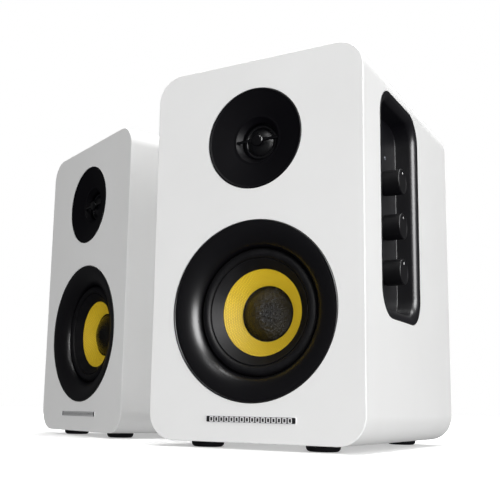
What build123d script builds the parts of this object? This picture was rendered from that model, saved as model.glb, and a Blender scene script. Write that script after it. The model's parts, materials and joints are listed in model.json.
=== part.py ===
"""A pair of powered desktop speakers, one node per real piece.

Each speaker is designed in its own frame: X across the front, Y into the cabinet from the
front face, Z up from the desk. The driver pieces are turned profiles about their own Y axis.
The active speaker stays square to the frame, the passive one stands behind it, turned outwards.
"""
from build123d import *
import os

# ---- driving dimensions, millimetres ----
WIDTH, HEIGHT, DEPTH = 155.0, 257.0, 199.0      # cabinet
CORNER_R = 18.4                                 # rounded edges of the front outline
WALL = 12.0                                     # MDF shell
BAFFLE = 18.0                                   # MDF front
REAR = 12.0                                     # MDF back, inset
FOOT_H, FOOT_R = 4.0, 11.0
FOOT_X, FOOT_FRONT, FOOT_REAR = 42.0, 19.5, 179.5
FIT = 0.15                                      # glue and drop-in clearance

WOOFER_Z = FOOT_H + 85.0
TRIM_R, TRIM_THROAT, TRIM_DEPTH = 60.0, 43.2, 10.5
LIP = 0.6                                       # the trim's lip stands this proud
CONE_R, CONE_Y = 35.5, 10.2                     # outer edge of the cone
NECK_R, NECK_Y = 13.0, 28.6                     # where the cone meets its voice coil
CAP_R, CAP_H = 18.3, 7.8
GLUE_R = 29.2                                   # inner edge of the surround's glue flange
MAGNET_R = 36.0
TWEETER_Z = FOOT_H + 201.5
PLATE_R = 35.0
DOME_R, DOME_H = 9.5, 3.4

BADGE_W, BADGE_H, BADGE_Z = 65.0, 4.9, FOOT_H + 14.7

PANEL_W, PANEL_H = 86.0, 156.6                  # control recess in the active speaker's side
PANEL_Y, PANEL_Z = 74.5, FOOT_H + 160.0
PANEL_R, PANEL_DEPTH, PANEL_LIP = 21.0, 15.0, 6.0
KNOB_R, KNOB_Y = 9.2, 82.0
KNOB_Z = {"volume": FOOT_H + 182.6, "bass": FOOT_H + 150.1, "treble": FOOT_H + 117.6}
SHAFT_R = 3.0
LED_Y, LED_Z, LED_R = 86.0, FOOT_H + 203.0, 1.5

PORT_R, PORT_Z, PORT_LENGTH, PORT_WALL = 17.5, FOOT_H + 190.0, 96.0, 2.5
PORT_FLARE = 10.5

AMP_W, AMP_H, AMP_Z, AMP_T = 116.0, 118.0, FOOT_H + 77.0, 2.0
RCA_X, RCA_Z, RCA_R, RCA_L = (-42.0, -22.0), FOOT_H + 115.0, 4.15, 8.0
AUX_X, AUX_R, AUX_L = 2.0, 1.8, 11.0
BLOCK_W, BLOCK_H, BLOCK_T = 60.0, 40.0, 3.0     # wire terminals
BLOCK_BODY_W, BLOCK_BODY_H = 46.0, 36.0
ACTIVE_BLOCK = (-20.0, FOOT_H + 68.0)
PASSIVE_BLOCK = (0.0, FOOT_H + 60.0)
LEVER_X, LEVER_W, LEVER_H, LEVER_R = 11.5, 14.6, 18.0, 1.6
LEVER_PIVOT = 9.5                               # above the block's middle
WIRE_R, WIRE_L, WIRE_DROP = 2.2, 12.0, 14.2
SWITCH_X, SWITCH_Z = 38.0, FOOT_H + 76.0
ROCKER_TILT = 12.0
INLET_X, INLET_Z = 38.0, FOOT_H + 40.0
PIN_R, PIN_HOLE_R = 1.0, 1.06                   # pivot stubs and their holes

PASSIVE_PLACE = (-219.0, 95.5)                  # its front foot line, from the active one's
PASSIVE_TURN = -25.0                            # degrees about Z


# ---- helpers ----
def turned(*outline):
    """A solid of revolution about Y from (radius, depth) points and edges, in order round."""
    edges = []
    last = outline[0]
    for item in outline[1:] + (outline[0],):
        if isinstance(item, Edge):
            edges.append(item)
            last = item @ 1
        else:
            if (Vector(*item) - Vector(*last)).length > 1e-6:
                edges.append(Line(last, item))
            last = item
    return revolve(make_face(edges), Axis.Y)


def disc(radius, y0, y1, x=0, z=0):
    """A round bar along Y."""
    return Pos(x, (y0 + y1) / 2, z) * Rot(90, 0, 0) * Cylinder(radius, y1 - y0)


def tube(r_in, r_out, y0, y1):
    return disc(r_out, y0, y1) - disc(r_in, y0, y1)


def block(x0, x1, y0, y1, z0, z1):
    return Pos((x0 + x1) / 2, (y0 + y1) / 2, (z0 + z1) / 2) * Box(x1 - x0, y1 - y0, z1 - z0)


def slab(width, height, radius, y0, y1, x=0, z=0):
    """A plate with rounded corners, seen along Y."""
    outline = RectangleRounded(width, height, radius)
    return Pos(x, y1, z) * Rot(90, 0, 0) * extrude(outline, y1 - y0)


def group(solids):
    return Compound(children=list(solids))


def screw(x, y, z, length, side):
    """A pan-head wood screw whose head sits on y; side +1 drives it towards +Y."""
    head = disc(3.6, min(y, y - side * 2.0), max(y, y - side * 2.0), x, z)
    shank = disc(1.9, min(y, y + side * length), max(y, y + side * length), x, z)
    cross = block(x - 2, x + 2, y - 2.4, y + 2.4, z - 0.5, z + 0.5)
    cross += block(x - 0.5, x + 0.5, y - 2.4, y + 2.4, z - 2, z + 2)
    return head - Pos(0, -side * 3.2, 0) * cross + shank


def pilot(x, y, z, length, side):
    """The hole for such a screw."""
    return disc(1.95, min(y, y + side * length), max(y, y + side * length), x, z)


def round_places(count, radius, z, start=45.0):
    """Places on a circle in the front plane, as (x, z)."""
    spots = []
    for index in range(count):
        spot = Vector(radius, 0, 0).rotate(Axis.Y, start + 360.0 * index / count)
        spots.append((spot.X, z + spot.Z))
    return spots


# ---- cabinet ----
WOOFER_SCREWS = round_places(4, 52.2, WOOFER_Z)
PORT_SCREWS = round_places(3, 25.0 + 0.6, PORT_Z, 90.0)
AMP_SCREWS = [(x, AMP_Z + z) for x in (-54, 54) for z in (-55, 0, 55)]
BLOCK_SCREWS = [(PASSIVE_BLOCK[0] + x, PASSIVE_BLOCK[1] + z) for x in (-27, 27) for z in (-17, 17)]
MID_Z = FOOT_H + HEIGHT / 2


def cabinet_wrap(active):
    shell = slab(WIDTH, HEIGHT, CORNER_R, BAFFLE, DEPTH, 0, MID_Z)
    shell -= slab(WIDTH - 2 * WALL, HEIGHT - 2 * WALL, CORNER_R - WALL, BAFFLE, DEPTH, 0, MID_Z)
    if active:
        window = RectangleRounded(PANEL_W + FIT, PANEL_H + FIT, PANEL_R)
        window = Rot(0, 90, 0) * Rot(0, 0, 90) * window
        shell -= Pos(WIDTH / 2 - 2 * WALL, PANEL_Y, PANEL_Z) * extrude(window, 3 * WALL, dir=(1, 0, 0))
    return shell


def front_baffle(active):
    board = slab(WIDTH, HEIGHT, CORNER_R, 0, BAFFLE, 0, MID_Z)
    woofer = disc(TRIM_R + FIT, 0, 2.8) + disc(56.3, 0, 11.0) + disc(49.0, 0, BAFFLE)
    tweeter = disc(PLATE_R + FIT, 0, 2.9) + disc(31.3, 0, 6.0) + disc(22.0, 0, BAFFLE)
    board -= Pos(0, 0, WOOFER_Z) * woofer
    board -= Pos(0, 0, TWEETER_Z) * tweeter
    board -= slab(BADGE_W + FIT, BADGE_H + FIT, 0.8, 0, 0.3, 0, BADGE_Z)
    for x, z in WOOFER_SCREWS:
        board -= pilot(x, 11.0, z, 6.5, 1)
    return board


def rear_panel(active):
    width, height = WIDTH - 2 * WALL - FIT, HEIGHT - 2 * WALL - FIT
    board = slab(width, height, CORNER_R - WALL, DEPTH - REAR, DEPTH, 0, MID_Z)
    board -= disc(PORT_R + PORT_WALL + FIT, DEPTH - REAR, DEPTH, 0, PORT_Z)
    if active:
        board -= slab(AMP_W - 16, AMP_H - 16, 4, DEPTH - REAR, DEPTH, 0, AMP_Z)
        plate_screws = AMP_SCREWS
    else:
        x, z = PASSIVE_BLOCK
        board -= slab(BLOCK_BODY_W + 0.6, BLOCK_BODY_H + 0.6, 2, DEPTH - REAR, DEPTH, x, z)
        plate_screws = BLOCK_SCREWS
    for x, z in PORT_SCREWS + plate_screws:
        board -= pilot(x, DEPTH, z, 10.5, -1)
    return board


def port_tube(active):
    """A straight tube with a quarter-round flare at the back and a flange on the rear panel."""
    outer, inner = PORT_R + PORT_WALL, PORT_R
    flange_r, back = PORT_R + PORT_FLARE + 3.0, DEPTH + 2.5
    flare = Edge.make_circle(PORT_FLARE, Plane((inner + PORT_FLARE, back - PORT_FLARE)), 90, 180)
    body = turned((inner, DEPTH - PORT_LENGTH), (outer, DEPTH - PORT_LENGTH), (outer, DEPTH),
                  (flange_r, DEPTH), (flange_r, DEPTH + 1.5), (flange_r - 1.0, back),
                  (inner + PORT_FLARE, back), flare)
    body = Pos(0, 0, PORT_Z) * body
    for x, z in PORT_SCREWS:
        body -= pilot(x, back, z, 12, -1)
        body -= disc(3.8, DEPTH + 1.2, back, x, z)
    return body


def feet(active):
    """Four rubber pads, each with a rounded rim and a screw recess under it."""
    pads = []
    for x in (-FOOT_X, FOOT_X):
        for y in (FOOT_FRONT, FOOT_REAR):
            pad = Pos(x, y, FOOT_H / 2) * Cylinder(FOOT_R, FOOT_H)
            pad = fillet(pad.edges().sort_by(Axis.Z)[0], 2.8)
            pad -= Pos(x, y, 0.75) * Cylinder(4.0, 1.5)
            pads.append(pad)
    return group(pads)


def badge(active):
    strip = slab(BADGE_W, BADGE_H, 0.8, -0.6, 0.3, 0, BADGE_Z)
    return strip - slab(BADGE_W - 1.2, BADGE_H - 1.2, 0.4, -0.6, -0.4, 0, BADGE_Z)


# ---- tweeter, built about its own axis ----
def tweeter_faceplate(active):
    """Shallow cone from the rim to the throat lip, then a throat down to the dome."""
    plate = turned((PLATE_R, -0.3), (PLATE_R, 2.8), (31.0, 2.8), (21.0, 5.2), (18.4, 6.6), (18.4, 11.7),
                   (13.0, 11.7), (13.0, 8.4), (15.9, 5.3), (16.4, 4.2), (17.0, 4.1), (17.5, 4.6),
                   (33.9, 0.75), (34.4, -0.3))
    return Pos(0, 0, TWEETER_Z) * plate


def tweeter_bridge(active):
    """A horizontal bar across the throat with a round plug in front of the dome."""
    bar = block(-15.6, 15.6, 4.6, 6.4, -1.3, 1.3)
    bar &= disc(15.4, 4, 7)
    plug = fillet(disc(4.2, 3.6, 6.8).edges().sort_by(Axis.Y)[0], 1.2)
    return Pos(0, 0, TWEETER_Z) * (bar + plug) - tweeter_faceplate(active)


def dome_shell(radius, height, base, thick):
    """A thin spherical cap whose rim lies at depth base and whose top points to the front."""
    ball = (radius ** 2 + height ** 2) / (2 * height)
    centre = base - height + ball
    outer = Pos(0, centre, 0) * Sphere(ball)
    inner = Pos(0, centre, 0) * Sphere(ball - thick)
    return (outer - inner) & disc(radius, base - height - 1, base)


def tweeter_dome(active):
    shape = dome_shell(DOME_R, DOME_H, 11.0, 0.4) + tube(DOME_R - 0.4, DOME_R, 10.7, 16.0)
    return Pos(0, 0, TWEETER_Z) * shape


def tweeter_surround(active):
    roll = turned((9.6, 11.0), (10.2, 10.0), (11.2, 9.7), (12.2, 10.2), (12.7, 11.75), (17.5, 11.75),
                  (17.5, 12.1), (12.4, 12.1), (11.9, 10.6), (11.2, 10.1), (10.4, 10.4), (9.9, 11.3),
                  (9.6, 11.3))
    return Pos(0, 0, TWEETER_Z) * roll


def tweeter_motor(active):
    top_plate = tube(10.0, 20.0, 12.15, 15.2)
    magnet = tube(12.0, 19.0, 15.2, 21.0)
    yoke = disc(20.0, 21.0, 24.0) + disc(8.6, 12.6, 21.0)
    return group([Pos(0, 0, TWEETER_Z) * piece for piece in (top_plate, magnet, yoke)])


# ---- woofer, built about its own axis ----
def cone_depth(radius):
    """Depth of the cone's front face at a radius."""
    return CONE_Y + (NECK_Y - CONE_Y) * (CONE_R - radius) / (CONE_R - NECK_R)


def woofer_trim_ring(active):
    """A quarter-ellipse flare from the lip into the throat, with a drop-in flange behind it."""
    edge_r, wall = TRIM_R - 1.0, 2.2
    centre, width = (edge_r, TRIM_DEPTH), edge_r - TRIM_THROAT
    front = EllipticalCenterArc(centre, width, TRIM_DEPTH + LIP, 180, arc_size=90)
    back = EllipticalCenterArc(centre, width - wall, TRIM_DEPTH - wall, 180, arc_size=90)
    face = make_face([
        front, Line(front @ 1, (TRIM_R, 0.0)), Line((TRIM_R, 0.0), (TRIM_R, 2.7)),
        Line((TRIM_R, 2.7), (edge_r, 2.7)), Line((edge_r, 2.7), back @ 1), back,
        Line(back @ 0, (TRIM_THROAT + wall, 12.3)), Line((TRIM_THROAT + wall, 12.3), (TRIM_THROAT, 12.3)),
        Line((TRIM_THROAT, 12.3), front @ 0)])
    return Pos(0, 0, WOOFER_Z) * revolve(face, Axis.Y)


def woofer_basket(active):
    """Pressed frame: flange, step for the surround, conical wall with six windows, back plate."""
    frame = turned((56.0, 8.5), (56.0, 11.0), (48.2, 11.0), (48.2, 15.2), (34.5, 36.0), (34.5, 38.0),
                   (14.6, 38.0), (14.6, 36.4), (28.6, 36.4), (28.6, 33.7), (32.6, 33.7), (43.8, 15.2),
                   (41.5, 15.2), (41.5, 13.2), (46.2, 13.2), (46.2, 8.5))
    window = block(-10.5, 10.5, 18.6, 30.6, 30, 50)
    for index in range(6):
        frame -= Rot(0, 60 * index, 0) * window
    frame = Pos(0, 0, WOOFER_Z) * frame
    for x, z in WOOFER_SCREWS:
        frame -= disc(2.2, 8, 12, x, z)
    return frame


def woofer_surround(active):
    """Rubber half roll from the basket's step to the cone, and the wide flange glued on the cone."""
    gap, thick = 0.12, 0.9
    under = [(radius, cone_depth(radius) - gap) for radius in (CONE_R + 0.1, GLUE_R)]
    over = [(radius, cone_depth(radius) - gap - thick) for radius in (GLUE_R, CONE_R - 0.6)]
    skin = [(46.0, 12.45), (46.0, 13.15), (42.0, 13.15), (41.4, 10.6), (40.4, 9.1), (39.3, 8.6),
            (38.0, 8.9), (36.6, 9.7)] + under + over
    skin += [(36.2, 8.8), (37.6, 7.9), (39.3, 7.6), (41.1, 8.3), (42.3, 10.3), (42.9, 12.45)]
    return Pos(0, 0, WOOFER_Z) * turned(*skin)


def woofer_cone(active):
    thick = 1.1
    cone = turned((CONE_R, CONE_Y), (CONE_R, CONE_Y + thick), (NECK_R, NECK_Y + thick), (NECK_R, NECK_Y))
    return Pos(0, 0, WOOFER_Z) * cone


def woofer_dust_cap(active):
    base = cone_depth(CAP_R)
    return Pos(0, 0, WOOFER_Z) * dome_shell(CAP_R - 0.05, CAP_H, base, 0.8)


def woofer_voice_coil(active):
    former = tube(12.5, 12.95, 26.5, 48.0)
    winding = tube(12.95, 13.5, 38.0, 46.0)
    return Pos(0, 0, WOOFER_Z) * (former + winding)


def woofer_spider(active):
    """Corrugated disc: a zigzag skin of even thickness between the coil and the basket."""
    inner, outer, rings, wave, thick = 13.1, 28.3, 8, 0.8, 0.5
    step = (outer - inner) / rings
    front = [(inner + step * index, 33.0 - (wave if index % 2 else 0.0)) for index in range(rings + 1)]
    front = front + [(31.8, 33.0)]
    back = [(r, y + thick) for r, y in reversed(front)]
    return Pos(0, 0, WOOFER_Z) * turned(*(front + back))


def woofer_motor(active):
    top_plate = tube(14.2, MAGNET_R - 1.0, 38.0, 43.0)
    ferrite = tube(17.0, MAGNET_R, 43.0, 57.0)
    yoke = disc(MAGNET_R - 2.0, 57.0, 62.0) + disc(11.8, 38.5, 57.0)
    yoke -= disc(3.5, 38, 63)
    return group([Pos(0, 0, WOOFER_Z) * piece for piece in (top_plate, ferrite, yoke)])


# ---- rear fittings ----
def terminal_place(active):
    """X, Z of the block's middle and the Y that its plate sits on."""
    return ACTIVE_BLOCK + (DEPTH + AMP_T,) if active else PASSIVE_BLOCK + (DEPTH,)


def terminal_block(active):
    """Plate and body with two lever pockets, each with pivot holes and a wire hole below."""
    x, z, face = terminal_place(active)
    body = slab(BLOCK_W, BLOCK_H, 3, face, face + BLOCK_T, x, z)
    body += slab(BLOCK_BODY_W, BLOCK_BODY_H, 1.5, face - REAR, face, x, z)
    for side in (-1, 1):
        middle = x + side * LEVER_X
        half = LEVER_W / 2 + 0.35
        body -= block(middle - half, middle + half, face - 7.5, face + 5, z - 10.2, z + 13.2)
        body -= disc(WIRE_R, face + BLOCK_T - WIRE_L, face + BLOCK_T, middle, z - WIRE_DROP)
        axle = Pos(middle, face, z + LEVER_PIVOT) * Rot(0, 90, 0)
        body -= axle * Cylinder(PIN_HOLE_R, LEVER_W + 3.4)
    if not active:
        for sx, sz in BLOCK_SCREWS:
            body -= disc(2.2, face - 1, face + 4, sx, sz)
    return body


def lever(active, side):
    """A sprung finger plate hung from a pivot rod, pressed in at its lower end."""
    x, z, face = terminal_place(active)
    middle, pivot = x + side * LEVER_X, z + LEVER_PIVOT
    half = LEVER_W / 2
    plate = block(middle - half, middle + half, face + 0.4, face + 2.6, pivot - LEVER_H, pivot + 1.2)
    for rib in range(4):
        low = pivot - LEVER_H + 1.5 + 2.4 * rib
        plate += block(middle - half + 1, middle + half - 1, face + 2.6, face + 3.2, low, low + 1.1)
    rod = Pos(middle, face, pivot) * Rot(0, 90, 0) * Cylinder(LEVER_R, LEVER_W)
    stubs = Pos(middle, face, pivot) * Rot(0, 90, 0) * Cylinder(PIN_R, LEVER_W + 2.6)
    return plate + rod + stubs


def screws(active):
    """All the wood screws: drivers from the front, the rest from the back."""
    solids = [screw(x, 8.5, z, 8.6, 1) for x, z in WOOFER_SCREWS]
    solids += [screw(x, DEPTH + 1.2, z, 11, -1) for x, z in PORT_SCREWS]
    if active:
        solids += [screw(x, DEPTH + AMP_T, z, 12, -1) for x, z in AMP_SCREWS]
    else:
        solids += [screw(x, DEPTH + BLOCK_T, z, 13, -1) for x, z in BLOCK_SCREWS]
    return group(solids)


# ---- the active speaker's controls ----
def side_plate(width, height, radius, x0, x1):
    """A rounded plate in the side panel's plane, from x0 out to x1."""
    outline = Rot(0, 90, 0) * Rot(0, 0, 90) * RectangleRounded(width, height, radius)
    return Pos(x0, PANEL_Y, PANEL_Z) * extrude(outline, x1 - x0, dir=(1, 0, 0))


def side_bar(radius, x0, x1, y, z):
    """A round bar along X."""
    return Pos((x0 + x1) / 2, y, z) * Rot(0, 90, 0) * Cylinder(radius, x1 - x0)


SIDE = WIDTH / 2
FLOOR = SIDE - PANEL_DEPTH


def control_bezel(active):
    """A tray let into the side: a wide rounded lip, steep walls, a flat floor with shaft holes."""
    inset = PANEL_LIP + 0.6
    tray = side_plate(PANEL_W, PANEL_H, PANEL_R - 0.1, FLOOR - 2, SIDE)
    tray -= side_plate(PANEL_W - 2 * inset, PANEL_H - 2 * inset, PANEL_R - inset, FLOOR, SIDE)
    rim = tray.faces().sort_by(Axis.X)[-1].inner_wires()[0].edges()
    tray = fillet(rim, PANEL_LIP)
    for z in KNOB_Z.values():
        tray -= side_bar(SHAFT_R + 0.4, FLOOR - 3, FLOOR + 1, KNOB_Y, z)
    return tray - side_bar(LED_R + 0.05, FLOOR - 3, FLOOR + 1, LED_Y, LED_Z)


def control_board(active):
    """Circuit board with three potentiometers whose barrels guide the shafts."""
    front = FLOOR - 10.5
    pieces = [block(front - 1.6, front, 58, 108, FOOT_H + 96, FOOT_H + 214)]
    for z in KNOB_Z.values():
        pot = block(front, FLOOR - 2.3, KNOB_Y - 8, KNOB_Y + 8, z - 8, z + 8)
        pieces.append(pot - side_bar(SHAFT_R + 0.06, front + 1.5, FLOOR, KNOB_Y, z))
    return group(pieces)


def knob(z):
    """A plain round knob with a soft front edge, an index dimple and its D shaft."""
    cap = side_bar(KNOB_R, FLOOR + 0.6, SIDE - 0.6, KNOB_Y, z)
    cap = fillet(cap.edges().sort_by(Axis.X)[-1], 0.9)
    cap -= side_bar(0.8, SIDE - 1.0, SIDE, KNOB_Y, z + KNOB_R - 2.6)
    shaft = side_bar(SHAFT_R, FLOOR - 8.7, FLOOR + 1, KNOB_Y, z)
    return cap + shaft


def status_led(active):
    lens = side_bar(LED_R, FLOOR - 4, FLOOR + 0.6, LED_Y, LED_Z)
    return fillet(lens.edges().sort_by(Axis.X)[-1], 0.5)


# ---- the active speaker's amplifier ----
def amp_plate(active):
    plate = slab(AMP_W, AMP_H, 6, DEPTH, DEPTH + AMP_T, 0, AMP_Z)
    x, z, face = terminal_place(active)
    plate -= slab(BLOCK_BODY_W + 0.6, BLOCK_BODY_H + 0.6, 2, DEPTH - 1, DEPTH + 3, x, z)
    for jack_x in RCA_X:
        plate -= disc(5.2, DEPTH - 1, DEPTH + 3, jack_x, RCA_Z)
    plate -= disc(4.2, DEPTH - 1, DEPTH + 3, AUX_X, RCA_Z)
    plate -= slab(13.2, 19.2, 1, DEPTH - 1, DEPTH + 3, SWITCH_X, SWITCH_Z)
    plate -= slab(20.2, 12.2, 1, DEPTH - 1, DEPTH + 3, INLET_X, INLET_Z)
    for x, z in AMP_SCREWS:
        plate -= disc(2.2, DEPTH - 1, DEPTH + 3, x, z)
    return plate


def amp_board(active):
    """Main board standing behind the plate, with a finned heat sink and two capacitors."""
    y = DEPTH - 34.0
    board = block(-48, 48, y, y + 1.6, FOOT_H + 27, FOOT_H + 124)
    sink = block(-40, 12, y - 5, y, FOOT_H + 84, FOOT_H + 120)
    for fin in range(9):
        x = -40 + 6.25 * fin
        sink += block(x, x + 2, y - 22, y - 5, FOOT_H + 84, FOOT_H + 120)
    cans = [disc(9, y - 26, y, x, FOOT_H + 62) for x in (-26, -4)]
    return group([board, sink] + cans)


def transformer(active):
    """Laminated core on the cabinet floor with its winding bobbin."""
    floor = FOOT_H + WALL
    core = block(-28, 28, 92, 122, floor, floor + 47)
    core -= block(-18, -9, 90, 124, floor + 10, floor + 37)
    core -= block(9, 18, 90, 124, floor + 10, floor + 37)
    bobbin = block(-17.8, 17.8, 84, 130, floor + 10.2, floor + 36.8)
    bobbin -= block(-9, 9, 84, 130, floor + 10, floor + 37)
    return group([core, bobbin])


def power_inlet(active):
    """Two-pole mains inlet: flange, body, rounded cavity and two contact pins."""
    body = slab(24, 16, 2, DEPTH + AMP_T, DEPTH + AMP_T + 1.6, INLET_X, INLET_Z)
    body += slab(20, 12, 1, DEPTH - 12, DEPTH + AMP_T, INLET_X, INLET_Z)
    body -= slab(16.2, 8.8, 4.35, DEPTH - 9, DEPTH + 5, INLET_X, INLET_Z)
    for side in (-1, 1):
        body += disc(1.2, DEPTH - 10, DEPTH, INLET_X + side * 4.3, INLET_Z)
    return body


def power_switch(active):
    """Switch body with an open well and holes for the rocker's pivot stubs."""
    body = slab(15, 21.4, 1.5, DEPTH + AMP_T, DEPTH + AMP_T + 1.6, SWITCH_X, SWITCH_Z)
    body += slab(13, 19, 1, DEPTH - 12, DEPTH + AMP_T, SWITCH_X, SWITCH_Z)
    body -= block(SWITCH_X - 5, SWITCH_X + 5, DEPTH - 9, DEPTH + 6, SWITCH_Z - 8, SWITCH_Z + 8)
    axle = Pos(SWITCH_X, DEPTH + AMP_T - 1, SWITCH_Z) * Rot(0, 90, 0)
    return body - axle * Cylinder(PIN_HOLE_R, 12.2)


def power_rocker(active):
    """A see-saw key, resting tipped over to one side."""
    half, pivot_y = 4.65, DEPTH + AMP_T - 1
    outline = Polyline((7.0, 4.2), (0, 2.6), (-7.0, 4.2), (-6.0, -2.0), (0, -4.5), (6.0, -2.0), close=True)
    key = Rot(0, 90, 0) * Rot(0, 0, 90) * extrude(make_face(outline), half, both=True)
    key = key + Rot(0, 90, 0) * Cylinder(PIN_R, 2 * half + 2.2)
    return Pos(SWITCH_X, pivot_y, SWITCH_Z) * Rot(ROCKER_TILT, 0, 0) * key


def input_jacks(active):
    """Phono pair and a small stereo jack, each a body behind the plate and a collar outside it."""
    face = DEPTH + AMP_T
    pieces = []
    for x in RCA_X:
        body = block(x - 8, x + 8, DEPTH - 10, DEPTH, RCA_Z - 8, RCA_Z + 8)
        sleeve = disc(5.0, DEPTH, face, x, RCA_Z) + disc(RCA_R, face, face + RCA_L, x, RCA_Z)
        sleeve -= disc(RCA_R - 0.5, face - 1, face + RCA_L, x, RCA_Z)
        sleeve += disc(RCA_R - 0.5, face - 1, face + RCA_L - 1.2, x, RCA_Z)
        pieces.append(body + sleeve - disc(1.65, face - 6, face + RCA_L, x, RCA_Z))
    body = block(AUX_X - 6, AUX_X + 6, DEPTH - 12, DEPTH, RCA_Z - 6, RCA_Z + 6)
    body += disc(4.0, DEPTH, face + 1.5, AUX_X, RCA_Z)
    pieces.append(body - disc(AUX_R, face + 1.5 - AUX_L, face + 1.5, AUX_X, RCA_Z))
    return group(pieces)


def crossover_board(active):
    """The passive speaker's filter: a coil and two capacitors on a small board."""
    floor = FOOT_H + WALL
    board = block(-30, 30, 110, 160, floor, floor + 1.6)
    coil = Pos(-14, 135, floor + 1.6 + 6) * (Cylinder(12, 12) - Cylinder(5, 12))
    cans = [Pos(14, y, floor + 1.6 + 5.5) * Rot(0, 90, 0) * Cylinder(5.5, 24) for y in (124, 146)]
    return group([board, coil] + cans)


# ---- the pair ----
SHARED = (cabinet_wrap, front_baffle, rear_panel, port_tube, feet, badge, tweeter_faceplate,
          tweeter_bridge, tweeter_dome, tweeter_surround, tweeter_motor, woofer_trim_ring,
          woofer_basket, woofer_surround, woofer_cone, woofer_dust_cap, woofer_voice_coil,
          woofer_spider, woofer_motor, terminal_block, screws)
ACTIVE_ONLY = (control_bezel, control_board, status_led, amp_plate, amp_board, transformer,
               power_inlet, power_switch, power_rocker, input_jacks)


def speaker(active):
    """All the pieces of one speaker in its own frame, by node name."""
    prefix = "active_" if active else "passive_"
    pieces = {prefix + make.__name__: make(active) for make in SHARED}
    pieces[prefix + "lever_positive"] = lever(active, 1)
    pieces[prefix + "lever_negative"] = lever(active, -1)
    if active:
        pieces.update({make.__name__: make(active) for make in ACTIVE_ONLY})
        pieces.update({name + "_knob": knob(z) for name, z in KNOB_Z.items()})
    else:
        pieces["crossover_board"] = crossover_board(active)
    return pieces


passive_location = Pos(*PASSIVE_PLACE, 0) * Rot(0, 0, PASSIVE_TURN)
nodes = speaker(True)
nodes.update({name: passive_location * piece for name, piece in speaker(False).items()})

# The row's origin is the middle of the pair's box, on the desk.
boxes = [piece.bounding_box() for piece in nodes.values()]
low = [min(tuple(box.min)[axis] for box in boxes) for axis in range(3)]
high = [max(tuple(box.max)[axis] for box in boxes) for axis in range(3)]
ORIGIN = ((low[0] + high[0]) / 2, (low[1] + high[1]) / 2, low[2])
os.makedirs("parts", exist_ok=True)
for name, piece in nodes.items():
    export_step(Pos(-ORIGIN[0], -ORIGIN[1], -ORIGIN[2]) * piece, "parts/%s.step" % name)
print("origin in the active speaker's frame:", [round(value, 4) for value in ORIGIN])
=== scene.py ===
"""Fine shapes and finishes for a pair of powered desktop speakers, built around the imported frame.

Shapes are worked out in millimetres in each speaker's own frame: X across its front, Y into the
cabinet, Z up from the desk. Speaker.place carries them into the row frame, in metres.
"""
import json
import math

import bmesh
import bpy
import numpy as np
from mathutils import Matrix, Vector
from mathutils.geometry import tessellate_polygon

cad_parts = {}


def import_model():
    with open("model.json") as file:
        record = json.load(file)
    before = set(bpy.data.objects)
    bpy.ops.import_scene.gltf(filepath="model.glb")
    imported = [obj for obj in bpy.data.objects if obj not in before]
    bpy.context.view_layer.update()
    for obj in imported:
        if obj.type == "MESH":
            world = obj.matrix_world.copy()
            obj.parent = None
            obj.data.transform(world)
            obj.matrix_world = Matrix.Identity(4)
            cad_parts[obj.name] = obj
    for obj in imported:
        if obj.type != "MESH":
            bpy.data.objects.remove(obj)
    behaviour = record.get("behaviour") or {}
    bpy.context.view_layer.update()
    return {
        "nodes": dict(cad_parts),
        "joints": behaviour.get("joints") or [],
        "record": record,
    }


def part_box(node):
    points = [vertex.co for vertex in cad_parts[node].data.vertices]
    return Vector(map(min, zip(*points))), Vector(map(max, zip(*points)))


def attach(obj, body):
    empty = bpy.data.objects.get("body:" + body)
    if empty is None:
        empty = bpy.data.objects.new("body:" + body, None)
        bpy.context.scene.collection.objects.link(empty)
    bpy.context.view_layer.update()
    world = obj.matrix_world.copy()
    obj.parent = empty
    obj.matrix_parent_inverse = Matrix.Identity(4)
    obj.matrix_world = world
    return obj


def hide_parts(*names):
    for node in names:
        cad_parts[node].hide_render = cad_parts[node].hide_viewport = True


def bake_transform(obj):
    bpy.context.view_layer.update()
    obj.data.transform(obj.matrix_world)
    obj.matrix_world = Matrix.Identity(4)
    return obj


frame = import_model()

MM = 0.001


# ---- places and sizes from the frame, in millimetres ----
class Speaker:
    """One speaker's own frame, found from its front board and its woofer's line of travel."""

    def __init__(self, name):
        self.name = name
        travel = next(j for j in frame["joints"] if j["name"] == name + "_woofer_travel")
        self.inward = np.array(travel["axis"], float)
        self.across = np.array([self.inward[1], -self.inward[0], 0.0])
        low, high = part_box(name + "_front_baffle")
        middle = (np.array(low) + np.array(high)) / 2 / MM
        self.origin = middle - self.inward * BAFFLE / 2
        self.origin[2] = 0.0
        self.body = name + "_speaker"

    def node(self, part):
        return self.name + "_" + part

    def matrix(self):
        """Takes the speaker's own millimetres to the row frame's metres."""
        columns = np.eye(4)
        columns[:3, 0], columns[:3, 1] = self.across * MM, self.inward * MM
        columns[2, 2] = MM
        columns[:3, 3] = self.origin * MM
        return Matrix(columns.tolist())


def span(node):
    """Lowest and highest corner of a node in the active speaker's own frame."""
    low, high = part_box(node)
    return np.array(low) / MM - HOME, np.array(high) / MM - HOME


HOME = np.zeros(3)
front_low, front_high = span("active_front_baffle")
HOME = np.array([(front_low[0] + front_high[0]) / 2, front_low[1], 0.0])
front_low, front_high = span("active_front_baffle")
WIDTH, BAFFLE = front_high[0] - front_low[0], front_high[1]
BOTTOM, TOP = front_low[2], front_high[2]
DEPTH = span("active_cabinet_wrap")[1][1]
WALL = 12.0
CORNER = 18.4
EDGE = 0.7
MIDDLE = (BOTTOM + TOP) / 2


def ring_size(node):
    """Centre height and radius of a round node seen from the front."""
    low, high = span(node)
    return (low[2] + high[2]) / 2, (high[2] - low[2]) / 2


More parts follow.
